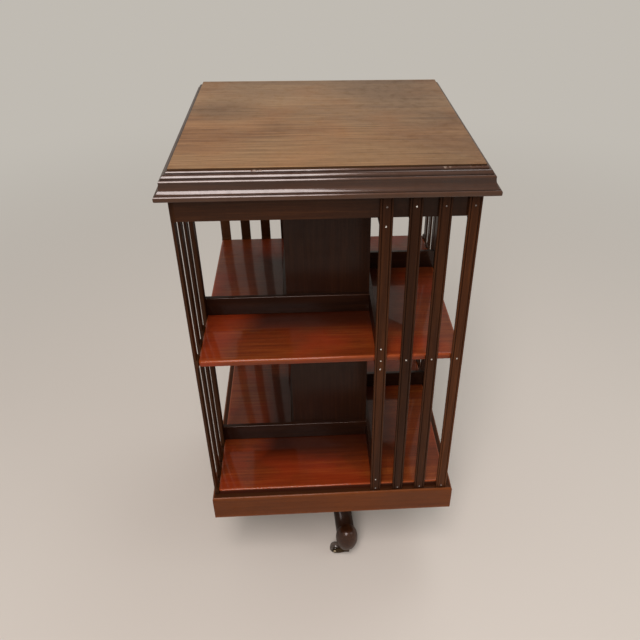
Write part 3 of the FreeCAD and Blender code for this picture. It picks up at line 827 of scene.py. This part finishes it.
def plinth_outline():
    """A deep bar with a 4 mm round above and a 1 mm one below."""
    pen = Pen(plinth_in, plinth_low[2])
    pen.line(plinth_out - plinth_in - 1.0 * mm, 0).round(1.0 * mm, 1.0 * mm, -90, 0, 4)
    pen.line(0, plinth_high[2] - plinth_low[2] - 5.0 * mm, 6).round(4.0 * mm, 4.0 * mm, 0, 90, 9)
    pen.line(plinth_in - plinth_out + 4.0 * mm, 0, 2)
    pen.line(0, plinth_low[2] - plinth_high[2])
    return pen.outline()


rail_outline = plinth_outline()
for quarter, side in enumerate(sides):
    bar = mitred_bar(rail_outline, 3, 0.1 * mm)
    marks = wear_marks(rail_outline, len(bar), 0.0016)
    # The ledge round the shelf is made darker and duller.
    ledge = (rail_outline[:, 1] > plinth_high[2] - 0.2 * mm) & (rail_outline[:, 0] < plinth_out - 2.5 * mm)
    marks["grimed"] = np.maximum(marks["grimed"], 0.85 * ledge)
    make_piece("plinth_bar_" + side, [quarter_turned(bar, quarter)], "case",
               plinth_wood[side_grain[side]], ["plinth_rail_" + side], marks=marks)
print("plinth", round(2 * plinth_out, 4), "m square")

# %% [markdown]
# ## Slats and their brads
#
# Four slats close the right-hand part of each side. Each has a bead along both edges of its face and
# a groove beside the bead, so it catches two thin lines of light. Small iron brads hold it to every
# board it crosses; their heads were rubbed bright when the case was polished. Where a slat crosses an
# open tier its back is planed thinner, so light shows between slats that are seen nearly edge on. The
# first slat covers the ends of the rails and keeps its full thickness.

# %% Slats
def slat_outline(width, thickness):
    """The section as (x, y), face towards -y: half-round beads, V grooves and a flat between them."""
    half = width / 2
    bead, groove, rise = 1.6 * mm, 1.0 * mm, 1.3 * mm
    pen = Pen(-half, 0.0)
    pen.line(0, -(thickness - bead))
    pen.round(bead, bead, 180, 325, 12)
    x, y = pen.points[-1]
    pen.line(-half + 2 * bead + 0.25 * groove - x, -(thickness - rise) - y)
    pen.line(groove, -rise + 0.15 * mm)
    pen.line(0.3 * mm, -0.15 * mm)
    flat = pen.points[-1][0]
    left = np.array(pen.points)
    right_half = left[::-1] * (-1, 1)
    return np.concatenate([left, [(flat / 2, -thickness), (-flat / 2, -thickness)], right_half])


slat_count = 4
planed_thickness = 4.2 * mm
mid_low, mid_high = corners("mid_shelf")
tiers = ((corners("bottom_shelf")[1][2], mid_low[2]), (mid_high[2], corners("frieze_rail_front")[0][2]))
for k in range(1, slat_count + 1):
    low, high = corners("slat_%d_front" % k)
    outline = slat_outline(high[0] - low[0], high[1] - low[1])
    stations = np.concatenate([low[2] + np.array([0, 2, 5, 10, 30]) * mm,
                               high[2] - np.array([300, 180, 110, 70, 40, 20, 0]) * mm]
                              + [(a, a + 2 * mm, b - 2 * mm, b) for a, b in tiers])
    stations.sort()
    open_here = sum((stations > a + 1 * mm) & (stations < b - 1 * mm) for a, b in tiers)
    planed = (k > 1) * open_here * (high[1] - low[1] - planed_thickness)
    x = outline[:, 0] + (low[0] + high[0]) / 2
    rings = np.array([np.stack([x, np.minimum(outline[:, 1], -less) + high[1], np.full_like(x, z)], -1)
                      for z, less in zip(stations, planed)])
    marks = wear_marks(outline, len(rings), 0.7 * mm)
    # Darker towards the foot, where the slat meets the ledge; painted shade towards the head, under the
    # moulding.
    foot_darkening = np.exp(-(stations - low[2]) / (4 * mm))[:, None]
    head_shade = 0.6 * np.exp(-(high[2] - stations) / (90 * mm))[:, None]
    marks = {"worn": 0.6 * marks["worn"], "grimed": np.maximum(marks["grimed"], foot_darkening + head_shade)}
    for quarter, side in enumerate(sides):
        make_piece("moulded_slat_%d_%s" % (k, side), [quarter_turned(rings, quarter)], "case",
                   slat_woods[slat_shares[side][k - 1]], ["slat_%d_%s" % (k, side)],
                   crease=28, marks=marks)
print("slats", slat_count * len(sides), "of", len(outline), "points round")


# %% Brad heads
def circles(radius, level, points=48):
    """Level rings of the given radii at the given heights."""
    a = np.linspace(0, 2 * np.pi, points, endpoint=False)
    r, z = np.asarray(radius, float)[:, None], np.asarray(level, float)[:, None]
    return np.stack([r * np.cos(a), r * np.sin(a), np.broadcast_to(z, (len(r), points))], -1)


def button(radius, height, rings=5, points=12):
    """A domed head facing +Z: rings of radius r at height * sqrt(1 - (r / radius)^2), over a short skirt."""
    a = np.linspace(0.25, 1.5, rings)
    share = np.concatenate([[1.0, 1.0], np.cos(a)])
    level = np.concatenate([[-0.8, 0.0], np.sin(a)])
    return circles(radius * share, height * level, points)


face_level = corners("slat_1_front")[0][1]
brad_spread = 4.0 * mm
frieze_level, foot_level = 0.80, 0.26
bright_brad_x = 0.123


def brad_centres():
    """The (x, z) of every brad on the front, read from the part of each bar that stands proud."""
    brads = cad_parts["slat_brads"].data
    points = np.empty(len(brads.vertices) * 3, np.float32)
    brads.vertices.foreach_get("co", points)
    points = points.reshape(-1, 3)
    tips = points[points[:, 1] < face_level][:, [0, 2]]
    centres = []
    while len(tips):
        group = np.linalg.norm(tips - tips[0], axis=1) < brad_spread
        centres.append(tips[group].mean(0))
        tips = tips[~group]
    return np.array(centres)


def bareness(x, z, quarter):
    """How far a head is rubbed bare, 0 to 1: most are bright, but those in the frieze are dull save one."""
    if z > frieze_level:
        return 1.0 if quarter == 0 and abs(x - bright_brad_x) < 0.01 else 0.15
    if z < foot_level:
        return 0.55 + 0.25 * math.sin(x * 900 + quarter)
    return 1.0


heads = brad_centres()
dome = button(1.35 * mm, 0.36 * mm)
brad_shells = []
brad_marks = []
for quarter in range(4):
    for x, z in heads:
        brad = np.stack([dome[..., 0] + x, face_level - dome[..., 2], dome[..., 1] + z], -1)
        brad_shells.append(quarter_turned(brad, quarter))
        brad_marks.append(np.full(dome.shape[:2], bareness(x, z, quarter)))
make_piece("brad_heads", brad_shells, "case", brad_metal, ["slat_brads"], crease=60,
           marks={"worn": brad_marks})
print("brads on each side", len(heads))

# %% [markdown]
# ## Rails along the core
#
# A low rail stands at the back of each shelf, against the core, and another hangs under the board
# above. Each side has four, and their grain runs along them. A rail is its outline carried along.

# %% Rails
def rail_shell(low, high, bevel=1.6 * mm):
    """A bar between two corners of a box, its front arrises rounded by the bevel."""
    pen = Pen(-high[1], low[2])
    pen.to(-low[1] - bevel, low[2]).round(bevel, bevel, -90, 0, 5)
    pen.to(-low[1], high[2] - bevel).round(bevel, bevel, 0, 90, 5).to(-high[1], high[2])
    out, level = pen.outline().T
    return np.array([np.stack([np.full_like(out, x), -out, level], -1) for x in (low[0], high[0])])


stop_low = corners("stop_rails")[0]
head_low, head_high = corners("head_rails")
core_half = corners("core_board_right")[1][0]
rail_thickness, rail_gap = 8.0 * mm, 0.05 * mm
stop_height, head_height = 36.0 * mm, 23.0 * mm
rails = {"stop": (stop_height, (stop_low[2], mid_high[2])),
         "head": (head_height, (head_low[2], head_high[2] - head_height))}
for kind, (height, levels) in rails.items():
    shells = [rail_shell((stop_low[0] + 2 * rail_gap, -core_half - rail_thickness, z + rail_gap),
                         (core_half - 2 * rail_gap, -core_half - rail_gap, z + height - rail_gap))
              for z in levels]
    for pair, grain in enumerate("xy"):
        both = [quarter_turned(s, pair + turn) for s in shells for turn in (0, 2)]
        make_piece("%s_rails_%s" % (kind, grain), both, "case", shaded_stop_wood[grain],
                   [kind + "_rails"])
print("rails", rails)

# %% [markdown]
# ## Legs and toes
#
# Two arms are halved into each other to make the cross. Each arm stays level over the middle, turns
# over a round shoulder and sweeps down to a turned toe. The upper edges are softened more and more
# towards the toe, until the neck is nearly round. Side by side, the cross-sections of an arm are the
# rings, and the toe is a stack of circles.

# %% Arms of the cross
toe_level, cross_level = corners("cross_arm_over")[:, 2]
arm_half_width = 18.0 * mm
arm_depth = 44.0 * mm
toe_reach = 193.5 * mm
toe_height, belly_height = 55.0 * mm, 25.0 * mm
foot_radius, belly_radius = 15.5 * mm, 22.9 * mm
heel_level = toe_level + 12.0 * mm
neck_level = toe_level + 50.9 * mm


def smooth(t):
    """A step from 0 to 1 that starts and ends level: 3t^2 - 2t^3."""
    t = np.clip(t, 0, 1)
    return t * t * (3 - 2 * t)


def sweep_line(x, start, corner, end_x, end_z, level, tail):
    """A level line that bends down and runs to its end: its slope rises smoothly over the corner after
    the start, eases off by the share tail on the last 45 mm, and is scaled so that the end is met."""
    ease = 45.0 * mm
    s = np.linspace(0, end_x, 600)
    steep = smooth((s - start) / corner) * (1 - tail * smooth((s - (end_x - ease)) / ease))
    fall = np.concatenate([[0.0], np.cumsum((steep[1:] + steep[:-1]) / 2 * np.diff(s))])
    fall *= (level - end_z) / fall[-1]
    return level - np.interp(np.abs(x), s, fall)


def arm_rings(upper_half):
    """Cross-sections from toe to toe; the middle is halved, above or below, where the arms cross. The
    upper edges are rounded by 4 mm over the middle and by 13 mm at the neck, the lower ones by 2 mm."""
    lap, step = arm_half_width, 0.01 * mm
    x = np.concatenate([np.linspace(-toe_reach, -lap - step, 46), np.linspace(-lap, lap, 3),
                        np.linspace(lap + step, toe_reach, 46)])
    top = sweep_line(x, 60.0 * mm, 45.0 * mm, toe_reach, neck_level, cross_level, 0.85)
    bottom = np.maximum(sweep_line(x, 46.0 * mm, 60.0 * mm, toe_reach - 15.0 * mm, heel_level,
                                   cross_level - arm_depth, 0.0), heel_level)
    lapped = np.abs(x) <= lap + step / 10
    middle = cross_level - arm_depth / 2
    if upper_half:
        bottom = np.where(lapped, middle, bottom)
    else:
        top = np.where(lapped, middle, top)
    soft_over = (4.0 + 9.0 * smooth((np.abs(x) - 75.0 * mm) / (70.0 * mm))) * mm
    soft_under = np.full_like(x, 2.0 * mm)
    a = np.linspace(0, np.pi / 2, 7)
    w = arm_half_width
    rings = []
    for xi, ti, bi, so, su in zip(x, top, bottom, soft_over, soft_under):
        so = min(so, (ti - bi) / 2 - 0.2 * mm)
        y = np.concatenate([w - so + so * np.cos(a), -(w - so + so * np.cos(a[::-1])),
                            -(w - su + su * np.cos(a)), w - su + su * np.cos(a[::-1])])
        z = np.concatenate([ti - so + so * np.sin(a), ti - so + so * np.sin(a[::-1]),
                            bi + su - su * np.sin(a), bi + su - su * np.sin(a[::-1])])
        rings.append(np.stack([np.full_like(y, xi), y, z], -1))
    return np.array(rings)


def toe_rings():
    """A turned pad: out from the foot to the belly by a quarter sine, then a domed top, nearly a
    quarter ellipse, that closes in the middle."""
    t = np.linspace(0, 1, 9)
    a = np.linspace(0.08, np.pi / 2 - 0.02, 14)
    low_radius = foot_radius + (belly_radius - foot_radius) * np.sin(t * np.pi / 2) ** 0.7
    low_height = t * belly_height + 0.02 * mm
    high_height = belly_height + (toe_height - belly_height) * np.sin(a) - 0.05 * mm
    radius = np.concatenate([[foot_radius - 1.0 * mm], low_radius, belly_radius * np.cos(a) ** 0.62])
    height = np.concatenate([[0.01 * mm], low_height, high_height])
    return circles(radius, toe_level + height)


for name, node, quarter in (("upper_arm", "cross_arm_over", 0), ("lower_arm", "cross_arm_under", 1)):
    angle = base_turn + quarter * np.pi / 2
    shells = [arm_rings(quarter == 0)] + [toe_rings() + (end * toe_reach, 0, 0) for end in (1, -1)]
    # Painted shade: the arms, under the plinth, are made darker and duller than the toes.
    dust_and_shade = [np.full(s.shape[:2], share) for s, share in zip(shells, (0.9, 0.0, 0.0))]
    make_piece(name, [turned(s, angle) for s in shells], "base",
               leg_wood["xy"[quarter]], [node], crease=40, marks={"grimed": dust_and_shade})
print("cross stands", round(cross_level, 4), "m high")

# %% [markdown]
# ## Castors
#
# Under each toe a small wheel trails well behind its swivel pin. The wheel is glazed and round at the
# shoulders, with a hub on both sides. The fork is one casting: a boss round the pin and two cheeks that
# reach out to the axle, whose ends are hammered over into bright domes.

# %% Wheels and forks
swivel_degrees = {"front": 165.0, "right": 292.0, "back": 75.0, "left": 158.0}
trail = 24.0 * mm
wheel_radius = 13.0 * mm
wheel_half = 7.5 * mm
boss_top = 26.5 * mm
cheek_in, cheek_out = 8.0 * mm, 10.5 * mm
boss_reach = 9.0 * mm
eye_radius, pin_radius, axle_radius = 5.4 * mm, 3.5 * mm, 2.5 * mm


def on_axle(rings, way=1):
    """Rings about Z, laid along the axle: their Z becomes Y, one way or the other."""
    x, y, z = np.moveaxis(rings, -1, 0)
    return np.stack([x + trail, way * z, y + wheel_radius], -1)


def wheel_rings():
    """Circles about the axle: hub, dished side, round shoulder, tread, and back down the other side.
    The points are (share of the half width, radius in mm)."""
    side = np.array([(-1.0, 2.6), (-1.0, 4.4), (-0.88, 5.0), (-0.88, 7.0), (-0.98, 8.6)])
    a = np.linspace(0, np.pi / 2, 10)
    shoulder = np.stack([-0.98 * np.cos(a) ** 0.8, 9.4 + 3.6 * np.sin(a)], -1)
    half = np.concatenate([side, shoulder])
    whole = np.concatenate([half, half[-2::-1] * (-1, 1)])
    across, radius = whole[:, 0] * wheel_half, whole[:, 1] * mm
    flat = circles(radius, across)
    worn = np.repeat(np.clip((radius / wheel_radius - 0.93) / 0.06, 0, 1), flat.shape[1])
    return on_axle(flat), worn


def plate_shell(outline, y0, y1, edge=0.45 * mm):
    """A plate in the XZ plane with broken edges: the outline, shrunk a little at both faces."""
    centre = outline.mean(0)
    inner = centre + (outline - centre) * (1 - edge / np.abs(outline - centre).max())
    rings = [(inner, y0), (outline, y0 + edge), (outline, y1 - edge), (inner, y1)]
    return np.array([np.stack([o[:, 0], np.full(len(o), y), o[:, 1]], -1) for o, y in rings])


def boss_shell():
    """The boss round the pin: level rounded rectangles that draw in below, as a quarter ellipse."""
    a = np.linspace(0.25, np.pi / 2, 8)
    share = np.concatenate([np.sin(a), [1.0, 0.97]])
    level = boss_top - np.concatenate([9.0 * mm * np.cos(a[:-1]), [0.9 * mm, 0.35 * mm, 0.0]])
    corner = rounded_square(1.0, 0.5)
    size = np.array([boss_reach, cheek_out - 0.05 * mm])
    return np.array([np.c_[corner * size * s + (1.0 * mm, 0), np.full(len(corner), z)]
                     for s, z in zip(share, level)])


def fork_shells():
    """Boss, two cheeks, swivel pin and axle of one fork, trailing along +X."""
    a = np.radians(np.linspace(-112, 62, 18))
    eye = np.stack([trail + eye_radius * np.cos(a), wheel_radius + eye_radius * np.sin(a)], -1)
    t = np.linspace(0, 1, 8)[1:, None]
    over = eye[-1] + ((9.5 * mm, boss_top - 0.4 * mm) - eye[-1]) * np.concatenate([t, smooth(t)], 1)
    under = eye[0] + ((-7.6 * mm, boss_top - 7.5 * mm) - eye[0]) * np.concatenate([t, smooth(t)], 1)
    back = np.array([(-7.6 * mm, boss_top - 0.4 * mm)])
    cheek = np.concatenate([eye, over, back, under[::-1]])
    pin = circles([pin_radius] * 2, [boss_top - 1.0 * mm, boss_top + 2.5 * mm], 24)
    axle = circles([axle_radius] * 2, [-cheek_in - 1.0 * mm, cheek_in + 1.0 * mm], 24)
    return [plate_shell(cheek, cheek_in, cheek_out), plate_shell(cheek, -cheek_out, -cheek_in),
            boss_shell(), pin, on_axle(axle)]


for quarter, side in enumerate(sides):
    angle = base_turn + (quarter - 1) * np.pi / 2
    place = (toe_reach * math.cos(angle), toe_reach * math.sin(angle), 0.0)
    swivel = math.radians(swivel_degrees[side])
    tread, worn = wheel_rings()
    make_piece("turned_wheel_" + side, [turned(tread, swivel, place)], "castor_wheel_" + side,
               wheel_glaze, ["castor_wheel_" + side], marks={"worn": worn})
    rivets = [on_axle(button(3.0 * mm, 1.3 * mm, 7, 24) + (0, 0, cheek_out), way) for way in (1, -1)]
    for name, shells, replaced, crease, rubbed in (
            ("fork_", fork_shells(), ["castor_horn_" + side], 35, 0.12),
            ("axle_ends_", rivets, (), 60, 0.9)):
        make_piece(name + side, [turned(s, swivel, place) for s in shells], "castor_horn_" + side,
                   brass, replaced, crease=crease,
                   marks={"worn": [np.full(s.shape[:2], rubbed) for s in shells]})
print("castors", len(sides))

# %% [markdown]
# ## Spindle and screws
#
# The case turns on an upright steel spindle with a broad collar. The iron spider and plate that hold
# it are screwed to the wood, so their screws are added here, with a slot across each head.

# %% Spindle
spindle_foot, spindle_tip = corners("spindle")[:, 2]
spider_top = corners("spindle_spider")[1][2]
plate_under = corners("bearing_plate")[0][2]
collar_top = plate_under - 0.3 * mm
rod, tip, collar, soft = 8.0 * mm, 6.0 * mm, 20.0 * mm, 0.8 * mm
spindle_profile = np.array([
    (rod, spindle_foot), (rod, spider_top), (collar - soft, spider_top), (collar, spider_top + soft),
    (collar, collar_top - soft), (collar - soft, collar_top), (rod, collar_top),
    (rod, spindle_tip - 2.0 * mm), (tip, spindle_tip)])
make_piece("turned_spindle", [circles(*spindle_profile.T, 64)], "base", steel, ["spindle"])
print("spindle", round(spindle_tip - spindle_foot, 4), "m long")


# %% Slotted screws
def slotted_head(radius, height, slot_half=0.55 * mm, slot_depth=0.9 * mm):
    """A domed head whose height drops by the slot's depth where |x| is under half the slot's width."""
    head = button(radius, height, 9, 40)
    cut = (np.abs(head[..., 0]) < slot_half) & (head[..., 2] > 0.05 * mm)
    head[..., 2] = np.where(cut, np.maximum(head[..., 2] - slot_depth, 0.02 * mm), head[..., 2])
    return head


screw_reach = 44.0 * mm
screw = slotted_head(4.0 * mm, 1.9 * mm)
for name, body, level, way, start in (("spider_screws", "base", spider_top, 1, base_turn),
                                      ("plate_screws", "case", plate_under, -1, 0.0)):
    heads = [turned(screw * (1, 1, way) + (screw_reach, 0, level), start + q * np.pi / 2) for q in range(4)]
    make_piece(name, heads, body, steel, crease=30)
print("screws", 2 * len(heads))

# %% [markdown]
# ## Finishes for the pieces that stay as they are
#
# Flat boards need no new mesh: the frieze, the core and the hidden pine and iron keep their CAD solids
# and only take a finish, with the grain along each board.

# %% Dress the remaining nodes
def dress(node, finish):
    """Gives a CAD node one finish on all its material slots."""
    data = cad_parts[node].data
    if not data.materials:
        data.materials.append(finish)
    for i in range(len(data.materials)):
        data.materials[i] = finish


plain = {"bottom_bearer": pine, "corner_blocks": pine, "sub_top": pine, "castor_plates": brass,
         "spindle_spider": iron, "spindle_nut": iron, "bearing_plate": iron, "top_plate": iron}
for side in sides:
    plain["frieze_rail_" + side] = frieze_wood[side_grain[side]]
    plain["core_board_" + side] = shaded_core_wood
for node, finish in plain.items():
    dress(node, finish)
print("dressed nodes", len(plain))
